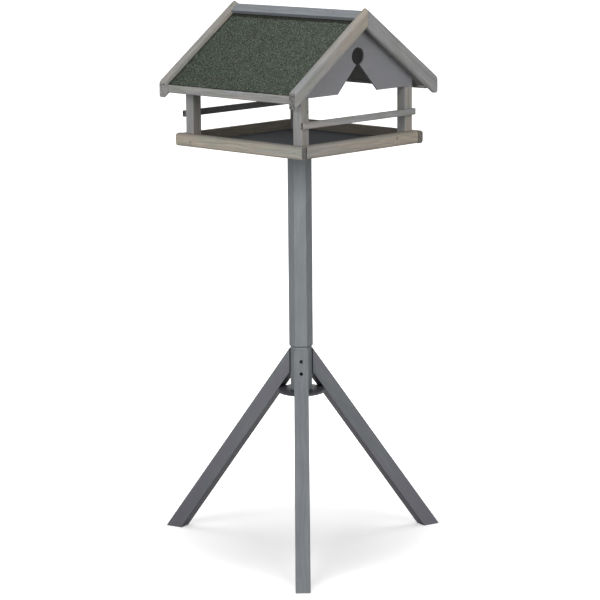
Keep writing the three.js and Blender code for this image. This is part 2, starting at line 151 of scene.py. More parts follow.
# %% Signals
class Signal:
    """One output socket of a recipe, with Python's operators."""

    def __init__(self, recipe, socket):
        self.recipe, self.socket = recipe, socket

    def math(self, operation, *values):
        """A Math node over these values, in the order that Blender shows its sockets."""
        return self.recipe.signal(0, "ShaderNodeMath", {"operation": operation}, dict(enumerate(values)))

    def __add__(self, other): return self.math("ADD", self, other)
    def __radd__(self, other): return self.math("ADD", other, self)
    def __sub__(self, other): return self.math("SUBTRACT", self, other)
    def __rsub__(self, other): return self.math("SUBTRACT", other, self)
    def __mul__(self, other): return self.math("MULTIPLY", self, other)
    def __rmul__(self, other): return self.math("MULTIPLY", other, self)
    def __truediv__(self, other): return self.math("DIVIDE", self, other)
    def __rtruediv__(self, other): return self.math("DIVIDE", other, self)

    def fraction(self): return self.math("FRACT", self)
    def root(self): return self.math("SQRT", self)
    def angle(self, other): return self.math("ARCTAN2", self, other)
    def clipped(self): return self.math("MINIMUM", self.math("MAXIMUM", self, 0), 1)

    def ramp(self, low, high):
        """0 below low, 1 above high, and a smooth step between. high may be the smaller one."""
        return self.recipe.signal(0, "ShaderNodeMapRange", {"interpolation_type": "SMOOTHSTEP"},
                                  {"Value": self, "From Min": low, "From Max": high})


print("signals know + - * / and", ", ".join(name for name in vars(Signal) if not name.startswith("_")))

# %% [markdown]
# ## Colours
#
# A painter picks colours on a screen, where equal steps look equal. A shader counts light instead. `tone`
# turns the one into the other, with the formula that every screen follows, so that the colours in this
# lesson can be read and changed as the six-figure codes that any paint program shows.

# %% Tones
def tone(code):
    """The colour with that code, such as "9a9488", as a shader needs it."""
    parts = [int(code[k:k + 2], 16) / 255 for k in (0, 2, 4)]
    return (*[p / 12.92 if p <= 0.04045 else ((p + 0.055) / 1.055) ** 2.4 for p in parts], 1.0)


print("a mid grey is", [round(v, 3) for v in tone("808080")])

# %% [markdown]
# ## Recipes
#
# `Recipe` is any set of nodes. Every node comes from its one method `add`, which takes the node's type, its
# settings, and what goes into its sockets. The settings come first, because some of them change which
# sockets a node has. `signal` makes a node in the same way, and gives back one of its outputs.
#
# Blender's own calls, one for each node, number and link, would do the same in many more lines.

# %% Recipes
class Recipe:
    """A set of nodes that is written as expressions."""

    def __init__(self, tree):
        self.nodes, self.links = tree.nodes, tree.links
        self.nodes.clear()

    def feed(self, socket, value):
        """Puts a signal, a number or a colour's code into a socket."""
        if isinstance(value, Signal):
            self.links.new(value.socket, socket)
        else:
            socket.default_value = tone(value) if isinstance(value, str) else value

    def add(self, kind, settings=None, sockets=None):
        node = self.nodes.new(kind)
        for key, value in (settings or {}).items():
            setattr(node, key, value)
        for key, value in (sockets or {}).items():
            self.feed(node.inputs[key], value)
        return node

    def signal(self, output, kind, settings=None, sockets=None):
        """One output of a new node."""
        return Signal(self, self.add(kind, settings, sockets).outputs[output])


print("a recipe knows", ", ".join(name for name in vars(Recipe) if not name.startswith("_")))

# %% [markdown]
# ## Patterns
#
# A pattern is drawn with only a few kinds of node: where a point is, noise, and the mixing of colours.
# Colours and vectors have methods of their own here, because a Math node would turn a colour grey.
#
# Where a point is comes from an attribute that was noted with the mesh, or from the object's own
# coordinates. Both stay with the piece, wherever it is looked at from.

# %% Patterns
class Pattern(Recipe):
    """A recipe that also knows the nodes that patterns are drawn with."""

    def attribute(self, name, output="Fac"):
        return self.signal(output, "ShaderNodeAttribute", {"attribute_name": name})

    def place(self):
        """Where a point is, in metres. The pieces' objects all sit at the origin."""
        return self.signal("Object", "ShaderNodeTexCoord")

    def axes(self, vector):
        return [Signal(self, part) for part in self.add("ShaderNodeSeparateXYZ", {}, {0: vector}).outputs]

    def vector(self, x, y, z):
        return self.signal(0, "ShaderNodeCombineXYZ", {}, {0: x, 1: y, 2: z})

    def noise(self, vector, scale=1.0, detail=2.0, roughness=0.5):
        return self.signal("Fac", "ShaderNodeTexNoise", {},
                           {"Vector": vector, "Scale": scale, "Detail": detail, "Roughness": roughness})

    def colour(self, low, high, factor):
        """The colour low where the factor is 0, and high where it is 1."""
        return self.signal(2, "ShaderNodeMix", {"data_type": "RGBA"}, {0: factor, 6: low, 7: high})


print("a pattern also knows", ", ".join(name for name in vars(Pattern) if not name.startswith("_")))

# %% [markdown]
# ## Finishes
#
# `Finish` is the recipe of one material, round a Principled shader. What is the same all over goes straight
# onto the shader's own sockets, and only what varies comes in through a link.
#
# A finish also notes the name of its material slot in the frame's record. The slots are called as the
# finishes are, so that each name is written only once.

# %% Finishes
class Finish(Pattern):
    """One material: a Principled shader and the nodes that feed it."""

    def __init__(self, name, **constants):
        self.material = bpy.data.materials.new(name)
        self.material.use_nodes = True
        self.slot = name.replace(" ", "_")
        super().__init__(self.material.node_tree)
        self.shader = self.add("ShaderNodeBsdfPrincipled")
        self.add("ShaderNodeOutputMaterial", {}, {"Surface": Signal(self, self.shader.outputs[0])})
        self.set(**constants)

    def set(self, **sockets):
        for socket, value in sockets.items():
            self.feed(self.shader.inputs[socket.replace("_", " ")], value)

    def relief(self, height, distance):
        """height, from 0 to 1, stands up to distance above the surface."""
        self.set(Normal=self.signal(0, "ShaderNodeBump", {}, {"Height": height, "Distance": distance}))


# %% [markdown]
# ## Boards with eased edges
#
# A planed board is never sharp enough to cut. Sandpaper has taken its edges off, and the narrow rounding
# catches the light. The CAD solids are sharp, to keep them light, so each board is copied and its edges get
# a small bevel. The triangles that the frame brings are joined into whole faces first, or the bevel would
# also run along lines that nobody can see.
#
# A Bevel modifier would do the same, but the grain is noted point by point, and needs the final points.

# %% Copy a board and ease its edges
FLAT, SHARP = math.radians(0.8), math.radians(28)


def eased_copy(node, ease=0.5):
    """A welded copy of a CAD node, as a bmesh, with its sharp edges eased by that many millimetres."""
    board = bmesh.new()
    board.from_mesh(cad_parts[node].data)
    bmesh.ops.remove_doubles(board, verts=board.verts, dist=0.01 * MM)
    bmesh.ops.dissolve_limit(board, angle_limit=FLAT, verts=board.verts, edges=board.edges)
    sharp = [edge for edge in board.edges if len(edge.link_faces) == 2 and edge.calc_face_angle() > SHARP]
    bmesh.ops.bevel(board, geom=sharp, offset=ease * MM, segments=2, profile=0.5, affect="EDGES",
                    clamp_overlap=True)
    return board


trial = eased_copy("tray_rail_front")
print("a rail has", len(trial.faces), "faces once its edges are eased")
trial.free()

# %% [markdown]
# ## Sawn ends
#
# A sawn end soaks up more stain than a planed face. The mark for it is a number at each point, and between
# two points it fades evenly, so on a plain board it would fade along the whole length. An inner ring of
# points on each end face keeps the fade near the rim.
#
# The ends could also have a material of their own, but then the stain would stop at a hard line.

# %% Ring the sawn ends
RIM, SMALLEST_END = 2.5 * MM, 4 * MM
CUT_ACROSS = 0.75


def room_inside(face):
    """About the radius of the largest circle inside a face."""
    return 2 * face.calc_area() / face.calc_perimeter()


def ring_the_sawn_ends(board, along):
    """Adds the inner rings to the faces that are cut across a direction."""
    board.normal_update()
    across = [face for face in board.faces if abs(face.normal.dot(along)) > CUT_ACROSS]
    sawn = [face for face in across if room_inside(face) > SMALLEST_END]
    bmesh.ops.inset_individual(board, faces=sawn, thickness=RIM, use_even_offset=True)
    board.normal_update()
    return len(sawn)


trial = eased_copy("tray_rail_front")
print("a rail has", ring_the_sawn_ends(trial, Vector((1, 0, 0))), "sawn ends")
trial.free()

# %% [markdown]
# ## Timber: where the grain comes from
#
# A board is sawn from a trunk. The trunk's yearly rings are cylinders round its pith, so one rule gives
# straight lines on one face, arches on the next and arcs on the end. Wood drawn as stripes on each face
# would not agree at the edges.
#
# So every board carries an attribute, `grain`, that says where each of its points was in its trunk, in
# metres: x runs along the pith, and y and z lie across it. Four more say how the board was treated there:
#
# - `end` marks the sawn ends.
# - `arris` marks the eased edges, where the wash is thinnest. They are found as the faces that are far
#   smaller than the ones beside them.
# - `wash` is how cool the wash turned out, and `shade` how dark the place is: mostly painted shade, and
#   stain at some sawn ends.

# %% Note a board's grain
FAR_SMALLER = 0.02
CUT_AT_A_SLANT = 0.55


def middle(board):
    low = Vector(min(v.co[k] for v in board.verts) for k in range(3))
    high = Vector(max(v.co[k] for v in board.verts) for k in range(3))
    return (low + high) / 2


def there(value, point, facing):
    """wash and shade are numbers, or functions of a point and the way it faces."""
    return value(point, facing) if callable(value) else value


def note_grain(board, along, wide, pith, seed, wash, shade, soak):
    """Writes the five attributes, for a board whose grain runs along a direction. The pith lies that many
    millimetres beside the board, and soak says how much stain the sawn ends took."""
    along, wide = Vector(along).normalized(), Vector(wide).normalized()
    ring_the_sawn_ends(board, along)
    through, centre = along.cross(wide), middle(board)
    start = random.Random(seed).uniform(1, 40)
    grain = board.verts.layers.float_vector.new("grain")
    numbers = board.verts.layers.float
    end, arris, washed, shaded = [numbers.new(name) for name in ("end", "arris", "wash", "shade")]
    for v in board.verts:
        p = v.co - centre
        v[grain] = (p.dot(along) + start, p.dot(wide) + pith[0] * MM, p.dot(through) + pith[1] * MM)
        cut = [abs(f.normal.dot(along)) > CUT_AT_A_SLANT for f in v.link_faces]
        v[end] = soak * sum(cut) / len(cut)
        sizes = [f.calc_area() for f in v.link_faces]
        v[arris] = 1.0 if min(sizes) < FAR_SMALLER * max(sizes) else 0.0
        v[washed] = there(wash, v.co, v.normal)
        v[shaded] = there(shade, v.co, v.normal)
    return board


print("every board notes grain, end, arris, wash and shade")

# %% [markdown]
# ## From mesh to piece
#
# Each finished mesh stands for a node of the frame: it hides it, and rides on a body. The table has no
# moving parts, so every piece rides on the root.
#
# Shading is smooth, apart from edges that are still sharp. Weighted Normals lets the wide faces decide, so
# that they stay flat to the light right up to their eased edges.

# %% Show a piece
STAYS_SHARP = math.radians(46)


def show(made, name, finish, node):
    """Turns a bmesh into a piece in its finish, in place of its CAD node."""
    mesh = bpy.data.meshes.new(name)
    made.to_mesh(mesh)
    made.free()
    mesh.materials.append(finish.material)
    mesh.shade_smooth()
    mesh.set_sharp_from_angle(angle=STAYS_SHARP)
    piece = add_object(name, mesh)
    even = piece.modifiers.new("even normals", "WEIGHTED_NORMAL")
    even.keep_sharp = True
    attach(piece, "root")
    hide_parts(node)
    return piece


def dress(node, finish, along, wide, ease=0.5, wash=0.0, shade=0.0, soak=1.0):
    """Replaces a node by an eased copy with its grain along one direction, and its width along another."""
    luck = random.Random(node)
    pith = (luck.uniform(6, 20) * luck.choice((-1, 1)), luck.uniform(22, 55))
    board = note_grain(eased_copy(node, ease), along, wide, pith, node, wash, shade, soak)
    return show(board, node + "_finished", finish, node)


# %% [markdown]
# ## Knots
#
# A knot is a branch that grew straight out from the pith. So knots are scattered by their place along the
# trunk and their angle round it: a Voronoi pattern is wrapped round the trunk, and some of its cells hold a
# knot. On a face that it comes out of, a knot is a round eye, and where it lies along a face, a long one.
# Spots painted on each face would miss that.

# %% Knots
def knots(finish, x, y, z, every):
    """How much a place is knot, is the rim of one, and lies near one. every is their distance in mm."""
    wrapped = finish.vector(x / every, z.angle(y) * 0.85, 0)
    cells = finish.add("ShaderNodeTexVoronoi", {"voronoi_dimensions": "2D"},
                       {"Vector": wrapped, "Scale": 1.0})
    away = Signal(finish, cells.outputs["Distance"])
    chance, size, _ = finish.axes(Signal(finish, cells.outputs["Color"]))
    kept = chance.ramp(0.5, 0.55)
    from_heart = away / (0.022 + size * 0.03)
    knot = from_heart.ramp(1.15, 0.8) * kept
    return knot, knot * from_heart.ramp(0.55, 0.95), away.ramp(0.2, 0.02) * kept


print("knots ready")

# %% [markdown]
# ## The pattern of pine
#
# The yearly rings are the distance from the pith, cut into years. Each year starts pale and ends in a dark
# line of latewood. A slow noise lets the rings wander, as a tree never grows evenly, and near a knot they run
# round it. Blender's Wave texture has rings too, but they fade the same way in and out.
#
# Fibre, pores, lines and streaks are noise as well, drawn out along the trunk.

# %% Rings and fibre
class Pine:
    """The signals that all timber finishes share, each from 0 to 1. Lengths are in millimetres."""

    def __init__(self, finish, ring_width=3.4, knot_every=75):
        self.finish = finish
        self.trunk = x, y, z = [part * 1000 for part in finish.axes(finish.attribute("grain", "Vector"))]
        self.knot, self.knot_rim, near_knot = knots(finish, x, y, z, knot_every)
        bent = (y * y + z * z).root() + self.drawn_out(130, 34) * 9 + near_knot * 5
        year = (bent / ring_width).fraction()
        self.ring = year.ramp(0.25, 0.93) * year.ramp(1.0, 0.95)
        self.fibre = self.drawn_out(22, 0.8)
        self.pores = self.drawn_out(9, 1.5, roughness=0.6)
        self.line = self.drawn_out(70, 2.6, detail=3.0, roughness=0.6)
        self.streak = self.drawn_out(190, 9)
        self.cloud = self.drawn_out(80, 26, start=7)
        self.end, self.arris = finish.attribute("end"), finish.attribute("arris")
        self.wash, self.shade = finish.attribute("wash"), finish.attribute("shade")

    def drawn_out(self, along, across, start=0, detail=2.0, roughness=0.5):
        """Noise whose marks are about so long along the trunk, and so wide across it."""
        x, y, z = self.trunk
        stretched = self.finish.vector(x / along + start, y / across, z / across)
        return self.finish.noise(stretched, 1.0, detail, roughness)


print("pine pattern ready")

# %% [markdown]
# ## Washed pine
#
# The tray, the posts and the boards round the roof are pine under a thin grey wash. It sinks in unevenly:
# warm beige and pink where the wood was dense, blue-grey and faintly green where it soaked in. Latewood
# lines, knots and sawn ends show darker, and the eased edges are rubbed paler.
#
# One finish serves all these pieces. The `wash` attribute says how far a place leans to the cool side, and
# `shade` how much of a dark brown tint lies over it: mostly painted shade, and stain at some sawn ends. A
# finish for each board would be much the same text many times over. The colours are laid one over another,
# as a maker would: wash, lines, knots, wear, stain, and painted shade in the same dark brown.

# %% Mix the washed pine
washed_pine = Finish("washed pine", Specular_IOR_Level=0.2)
wood, mix = Pine(washed_pine), washed_pine.colour

beige = mix("aba290", "b5a593", wood.cloud.ramp(0.4, 0.62))
warm = mix(beige, "b08c74", wood.streak.ramp(0.55, 0.7) * 0.55)
cool = mix("8c939b", "a0a2a9", wood.cloud.ramp(0.38, 0.64))
coolness = (wood.wash * 1.8 - 0.4 + (wood.streak - 0.5) * 1.8 + (wood.line - 0.5) * 0.6).clipped()
washed = mix(mix(warm, cool, coolness), "8f9a88", wood.cloud.ramp(0.44, 0.3) * 0.5)

latewood = wood.ring * 0.26 + wood.line.ramp(0.46, 0.66) * 0.32 + wood.fibre.ramp(0.48, 0.72) * 0.2
lined = mix(washed, "5b534a", latewood)
knotty = mix(mix(lined, "4d4035", wood.knot * 0.75), "2c2622", wood.knot_rim * 0.6)
rubbed = mix(knotty, "b9b5ab", wood.arris * 0.3)

soaked = (wood.ring * 0.25 + wood.pores.ramp(0.42, 0.6) * 0.3 + wood.line.ramp(0.46, 0.58) * 0.5).clipped()
sawn = mix(rubbed, mix("969694", "34322f", soaked), wood.end * 0.94)
# The shade attribute lays a dark brown on: painted shade inside the tray, on the rails' tops, the posts'
# inner sides and the barge boards' upper faces, and stain at some sawn ends.
washed_pine.set(Base_Color=mix(sawn, "2e2a26", wood.shade),
                Roughness=0.66 + wood.ring * 0.1 + wood.end * 0.12)
washed_pine.relief(wood.fibre * 0.35 + wood.line * 0.35 - wood.ring * 0.25 + wood.knot * 0.2, 0.35 * MM)
print("washed pine has", len(washed_pine.nodes), "nodes")

# %% [markdown]
# ## Painted timber
#
# The column, the legs and the disc are under a thin blue-grey paint that leaves the grain just visible as
# ridges. The ridge boards have a paler coat with dark knots coming through, the gable panels are smooth, and
# the tray's floor is a darker grey. They differ only in a few numbers, so one function mixes them all. On
# painted pieces the `wash` attribute says how far the coat leans to violet, as it does on two of the legs.

# %% Mix the paints
def paint(name, main, second, end_tone, roughness, relief, shine=0.22, grain_show=0.1, knot_show=0.0,
          knot_every=120):
    """A paint that varies between two tones and lets some of the grain and the knots show."""
    made = Finish(name, Specular_IOR_Level=shine)
    wood, mix = Pine(made, ring_width=3.8, knot_every=knot_every), made.colour
    coat = mix(main, second, wood.cloud.ramp(0.35, 0.65) * 0.5 + wood.line.ramp(0.3, 0.7) * 0.5)
    coat = mix(coat, "86808b", wood.wash * wood.streak.ramp(0.36, 0.6))
    coat = mix(coat, "3a3d40", (wood.ring + wood.fibre.ramp(0.5, 0.8)) * grain_show)
    coat = mix(coat, "33312f", wood.knot * knot_show)
    coat = mix(coat, end_tone, wood.end * (0.6 + wood.ring * 0.4))
    coat = mix(coat, "a3a8ab", wood.arris * (1 - wood.end) * 0.18)
    # The shade attribute darkens the coat: painted shade on the column's side flats, the legs' undersides and
    # feet and the ridge boards' lower edges, and a darker disc.
    made.set(Base_Color=mix(coat, "28242f", wood.shade),
             Roughness=roughness - 0.05 + wood.ring * 0.08 + wood.end * 0.1)
    made.relief(wood.fibre * 0.4 + wood.line * 0.3 - wood.ring * 0.3, relief * MM)
    return made


grey_paint = paint("grey paint", "8c9193", "7a7f82", "43474a", 0.55, 0.22, grain_show=0.12, knot_show=0.2)
ridge_paint = paint("ridge paint", "878b8f", "757a7f", "4f5356", 0.6, 0.25, grain_show=0.2, knot_show=0.8,
                    knot_every=45)
panel_paint = paint("panel paint", "87868a", "807f83", "66656a", 0.5, 0.06, grain_show=0.03)
floor_paint = paint("floor paint", "484b50", "414449", "34373b", 0.8, 0.1, shine=0.03, grain_show=0.06,
                    knot_show=0.1)
roof_timber = paint("roof timber", "6b6863", "5f5c58", "45423f", 0.8, 0.3, grain_show=0.2, knot_show=0.4)
paints = (grey_paint, ridge_paint, panel_paint, floor_paint, roof_timber)
print("paints mixed:", ", ".join(made.material.name for made in paints))

# %% [markdown]
# ## The tray
#
# Each board takes its grain direction from how a maker would cut it: along its length. The second direction
# is the board's width, and the pith's place beside the board decides whether its faces show straight lines
# or arches. The random part is seeded with the node's own name, so that each run is the same.
#
# The sides towards the tray get painted shade, much darker than the outer ones, and the tops a little, for
# the shade under the roof. A noise could also darken them, but then it would not know which side faces
# inwards. The last number of each rail is how much stain its sawn ends took.

# %% Dress the tray
ALONG_X, ALONG_Y, UPWARDS = (1, 0, 0), (0, 1, 0), (0, 0, 1)
TRAY_HALF, CORNER_REACH = 0.19, 0.3
TOWARDS_TRAY, TRAY_SIDE_SHADE = -0.06, 0.62


def rail_stain_and_shade(grain, at_ends=0.3):
    """Painted shade of a rail, dark towards the tray and a little on top, and stain at its sawn ends."""
    def shade(point, facing):
        outwards = facing.x * (point.x - axis_x) + facing.y * (point.y - axis_y)
        if outwards < TOWARDS_TRAY:
            return TRAY_SIDE_SHADE
        if abs(facing.dot(Vector(grain))) > 0.99:
            return at_ends
        return 0.3 * max(0.0, facing.z)
    return shade


def rail_wash(point, facing):
    """Rails took more of the cool wash towards the tray's front corner on the left."""
    from_corner = math.hypot(point.x - axis_x + TRAY_HALF, point.y - axis_y + TRAY_HALF)
    return 0.22 + 0.35 * max(0.0, 1 - from_corner / CORNER_REACH)


rails = (("left", ALONG_Y, 0.9), ("front", ALONG_X, 0.88), ("right", ALONG_Y, 0.65), ("back", ALONG_X, 0.9))
for side, grain, soak in rails:
    dress(f"tray_rail_{side}", washed_pine, grain, UPWARDS, wash=rail_wash, shade=rail_stain_and_shade(grain),
          soak=soak)
print("tray rails dressed:", len(rails))

# %% [markdown]
# ## Perches and eaves
#
# The perches are thin strips across the gables, and the eave boards close the lower ends of the roof. They
# took the wash cooler than the rails. The front perch hardly soaked up stain at its ends, and the back one
# did, which is one number here. On a real table it is the luck of the brush.

# %% Dress the perches and the eaves
# The perches get the same painted shade towards the tray and on top as the rails.
for end, at_ends, soak in (("front", 0.0, 0.3), ("back", 0.5, 1.0)):
    dress(f"perch_{end}", washed_pine, ALONG_X, UPWARDS, 0.4, 0.75, rail_stain_and_shade(ALONG_X, at_ends), soak)
for side in ("left", "right"):
    dress(f"eave_board_{side}", washed_pine, ALONG_Y, UPWARDS, 0.4, 0.75, 0.1)
print("perches and eave boards dressed")

# %% [markdown]
# ## Tray floor, gables and roof boards
#
# The floor and the gable panels are thin sheet, under smooth paint. The ridge boards cover the felt's upper
# edges, and get painted shade on the edge that faces down the slope. The roof boards lie under the felt, and
# only their undersides show.
#
# On a slope, the width of a board runs down the slope, and the grain runs level.

# %% Dress the floor, the gables and the roof boards
PITCH = math.radians(35.3)
SLOPES = (("right", 1), ("left", -1))


def down_slope(sign):
    return Vector((sign * math.cos(PITCH), 0, -math.sin(PITCH)))


def darker_towards(way, amount):
    """Painted shade on the faces that are turned one way."""
    return lambda point, facing: amount * max(0.0, facing.dot(way))


dress("tray_floor", floor_paint, ALONG_Y, ALONG_X, 0.2)
for end in ("front", "back"):
    dress(f"gable_panel_{end}", panel_paint, ALONG_X, UPWARDS, 0.35)
for side, sign in SLOPES:
    slope = down_slope(sign)
    # Painted shade on the ridge board's edge that faces down the slope.
    dress(f"ridge_board_{side}", ridge_paint, ALONG_Y, slope, shade=darker_towards(slope, 0.3))
    dress(f"roof_board_{side}", roof_timber, ALONG_Y, slope)
print("floor, gables and roof boards dressed")

# %% [markdown]
# ## Posts
#
# The posts' grain runs up. Their wash and their shade differ from place to place, so both are small
# functions of where a point is and which way it faces. A mask could be painted by hand in Blender instead,
# but a function says why a place is dark.

# %% Dress the posts
FOOT_DARKENING_TOP, FOOT_DARKENING_RUN = 1.05, 0.13


def post_wash(point, facing):
    """The sides towards the eaves took the wash bluer than those towards the gables."""
    return 0.55 + 0.3 * abs(facing.x)


def post_shade(point, facing):
    """Painted shade on the sides towards the tray, most of all on the post that lies deepest under the
    roof. The back post on the left is a little darker all over, and the post in front on the left gets
    darker towards its foot."""
    right, back = math.copysign(1, point.x - axis_x), math.copysign(1, point.y - axis_y)
    inwards = max(0.0, -facing.x * right, -facing.y * back)
    if right > 0 and back > 0:
        return 0.5 * inwards
    in_front = right < 0 and back < 0
    darker_to_foot = 0.3 * max(0.0, FOOT_DARKENING_TOP - point.z) / FOOT_DARKENING_RUN if in_front else 0.0
    return (0.18 if back > 0 else 0.02) + 0.2 * inwards + darker_to_foot


corners = ("front_left", "front_right", "back_left", "back_right")
for corner in corners:
    dress(f"post_{corner}", washed_pine, UPWARDS, ALONG_X, 0.4, post_wash, post_shade)
print("posts dressed:", len(corners))

# %% [markdown]
# ## Barge boards
#
# They cover the ends of the roof. Their grain runs down the slope, so their upright lower ends are cut
# across it at a slant, and show stretched rings. That comes by itself, because the rings are worked out in
# the trunk and not on the face. The far end on the left took little stain, and is as pale as the board.

# %% Dress the barge boards
ROOF_HALF = 0.25


def off_slope(sign):
    return Vector((sign * math.sin(PITCH), 0, math.cos(PITCH)))


def barge_wash(point, facing):
    """The right-hand boards are blue-grey near the ridge, and the left-hand ones near their lower ends."""
    down = abs(point.x - axis_x) / ROOF_HALF
    return 1.0 - 0.25 * down if point.x > axis_x else 0.34 + 0.5 * down


# Painted shade on the faces that are turned up off the slope.
for side, sign in SLOPES:
    for end in ("front", "back"):
        soak = 0.1 if (side, end) == ("left", "back") else 1.0
        dress(f"barge_board_{end}_{side}", washed_pine, down_slope(sign), off_slope(sign), wash=barge_wash,
              shade=darker_towards(off_slope(sign), 0.2), soak=soak)
print("barge boards dressed")

# %% [markdown]
# ## Column and disc
#
# The column is two six-sided bars, one above the other. The disc under it is turned from a flat board, so
# its rings run across its face. Painted shade on the flats to either side makes the six sides stand apart. A
# harder light would do that too, but everything else would lose its soft look.

# %% Dress the column and the disc
def column_shade(point, facing):
    """Painted shade, a little all over and more on the flats that don't face the front leg."""
    return 0.06 + 0.27 * (1 + min(0.0, (facing.x + facing.y) * math.sqrt(0.5)))


def disc_shade(point, facing):
    """Darker all over, and most of all on top."""
    return 0.82 if facing.z > 0.3 else 0.58


for piece in ("column_upper", "column_lower"):
    dress(piece, grey_paint, UPWARDS, ALONG_X, 0.4, shade=column_shade)
dress("spreader_disc", grey_paint, ALONG_X, ALONG_Y, 0.3, shade=disc_shade)
print("column and disc dressed")

# %% [markdown]
# ## Legs
#
# A leg's grain follows its lean. Painted shade makes the legs darkest underneath, and a little darker towards
# the ground. Two of them came from a batch of paint that leans to violet. Each leg's way round the column,
# its wash, its shade and how much darker its foot gets are numbers in one row.

# %% Dress the legs
LEG_LEAN, FOOT_SHADE_HEIGHT = math.radians(36.4), 0.3
UNDERSIDE_SHADE = 0.95


def leg_shade(shade, foot_shade):
    def at_point(point, facing):
        # Painted shade: darkest underneath, and darker towards the ground.
        if facing.z < -0.5:
            return UNDERSIDE_SHADE
        return shade + foot_shade * max(0.0, 1 - point.z / FOOT_SHADE_HEIGHT)
    return at_point


legs = (("front", 224, 0.1, 0.21, 0.16), ("right", 344, 0.8, 0.14, 0.1), ("back", 104, 0.8, 0.28, 0.2))
for leg, turn, wash, shade, foot_shade in legs:
    a = math.radians(turn)
    down = (math.cos(a) * math.sin(LEG_LEAN), math.sin(a) * math.sin(LEG_LEAN), -math.cos(LEG_LEAN))
    across = (-math.sin(a), math.cos(a), 0)
    dress(f"leg_{leg}", grey_paint, down, across, 0.4, wash, leg_shade(shade, foot_shade))
print("legs dressed:", len(legs))

# %% [markdown]
# ## Screws
#
# Zinc-plated screws go dull and slightly blotchy. Here they are kept almost black, which is also painted
# shade for the holes they sit in. Their shape in the frame is already right, cross slots and all, so the CAD
# nodes stay and only get the finish.

# %% Finish the screws
zinc = Finish("dull zinc", Metallic=0.7)
where = zinc.place()
blotch = zinc.noise(where, 900, 3.0)
# Almost black: dull zinc, and painted shade of the holes.
zinc.set(Base_Color=zinc.colour("1c1d1f", "303335", blotch.ramp(0.35, 0.65)), Roughness=0.46 + blotch * 0.2)
zinc.relief(zinc.noise(where, 4000), 0.02 * MM)
steel = [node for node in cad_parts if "screw" in node or "stud" in node]
for node in steel:
    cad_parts[node].data.materials.clear()
    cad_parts[node].data.materials.append(zinc.material)
print("steel pieces:", len(steel))

# %% [markdown]
# ## Roofing felt: its colour
#
# The felt is a bitumen sheet pressed full of coarse green and grey granules. Along its edges the granules
# have worn off and the dark bitumen shows, and the same dark edges stand for painted shadow too. Painted
# light makes it paler towards the ridge and the front, and painted shade darker low down and at the back.
#
# The granules are the cells of a Voronoi pattern, each with a tint of its own. Noise alone would give soft
# blots, and no granule is soft. An attribute, noted with the mesh, marks the worn and shadowed edges.

# %% Colour the felt
green_felt = Finish("green felt", Specular_IOR_Level=0.1)
mix, where = green_felt.colour, green_felt.place()
grit = green_felt.add("ShaderNodeTexVoronoi", {}, {"Vector": where, "Scale": 560.0})
grit_tint, grit_level, _ = green_felt.axes(Signal(green_felt, grit.outputs["Color"]))
clump = green_felt.noise(where, 330, 2.0, 0.6)
patch = green_felt.noise(where, 26, 3.0)
granules = mix("363f37", "565f54", grit_level.ramp(0.1, 0.9))
granules = mix(granules, "8d958b", grit_tint.ramp(0.72, 0.84) * clump.ramp(0.45, 0.58) * 0.7)
granules = mix(granules, "171a18", clump.ramp(0.5, 0.36) * 0.85)
granules = mix(granules, "463f38", patch.ramp(0.5, 0.7) * 0.24)

felt_low, felt_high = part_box("roof_felt_left")
_, felt_y, felt_z = green_felt.axes(where)
up_slope = (felt_z - felt_low.z) / (felt_high.z - felt_low.z)
to_front = (felt_high.y - felt_y) / (felt_high.y - felt_low.y)
# Painted light and shade: paler up the slope and towards the front, darker low down and at the back.
painted_light = (up_slope * 0.65 + to_front * 0.35).clipped()
painted_lit_felt = mix(mix(granules, "8d958b", painted_light * 0.07), "171a18", (1 - painted_light) * 0.22)
# Dark at the edges: worn granules, and painted shadow.
green_felt.set(Base_Color=mix(painted_lit_felt, "1f1c19", green_felt.attribute("worn")), Roughness=0.9 + clump * 0.1)
green_felt.relief(Signal(green_felt, grit.outputs["Distance"]) * -0.5 + clump * 0.8, 0.8 * MM)
print("green felt has", len(green_felt.nodes), "nodes")

# %% [markdown]
# ## Roofing felt: its shape
#
# The sheet is never quite flat, and its cut edge at the eaves is ragged. A flat slab with a bump would have
# a ruled edge, and a Displace modifier would swell the underside too. So each slope is two fine grids of
# points, joined round their rims. Noise lifts the upper one, and pushes the lowest row in and out.

# %% The felt's waves and edges
FELT_THICK, FELT_STEP = 2.0 * MM, 2.2 * MM
UNDER_RIDGE_BOARD = 27 * MM
EAVE_WEAR_AND_SHADOW, RIDGE_SHADOW, BARGE_WEAR_AND_SHADOW = 4.5 * MM, 3 * MM, 7 * MM


def rough(x, y, z):
    """Noise from -1 to 1, always the same in the same place."""
    return noise.noise(Vector((x, y, z)))


def wave(down, y, sign):
    """How far the felt's upper face stands off the slope there."""
    lift = rough(down * 9, y * 9, sign) * 0.35 + rough(down * 400, y * 400, sign) * 0.22
    return (min(lift, 0.3) * 0.6 - 0.2) * MM


def raggedness(y, sign):
    """How far the cut edge at the eave runs past a straight line there."""
    return (rough(y * 160, 3, sign) * 0.7 + rough(y * 30, 5, sign) * 0.5) * MM


def wear_and_shadow(point, low, high):
    """Worn edges and painted shadow: clear at the eave and along the ridge board, wider but faint
    beside the barge boards.
    """
    above_eave = (point.z - low.z) / math.sin(PITCH)
    below_ridge = (high.z - point.z) / math.sin(PITCH) - UNDER_RIDGE_BOARD
    beside_barge = min(point.y - low.y, high.y - point.y)
    ragged = noise.noise(point * 90) * 3 * MM
    return max(0.8 * (above_eave < EAVE_WEAR_AND_SHADOW + ragged), 0.75 * (below_ridge < RIDGE_SHADOW + ragged),
               0.5 * (beside_barge < BARGE_WEAR_AND_SHADOW + 2 * ragged))


print("felt edge runs in and out by", [round(raggedness(y * 0.01, 1) / MM, 2) for y in range(5)], "mm")

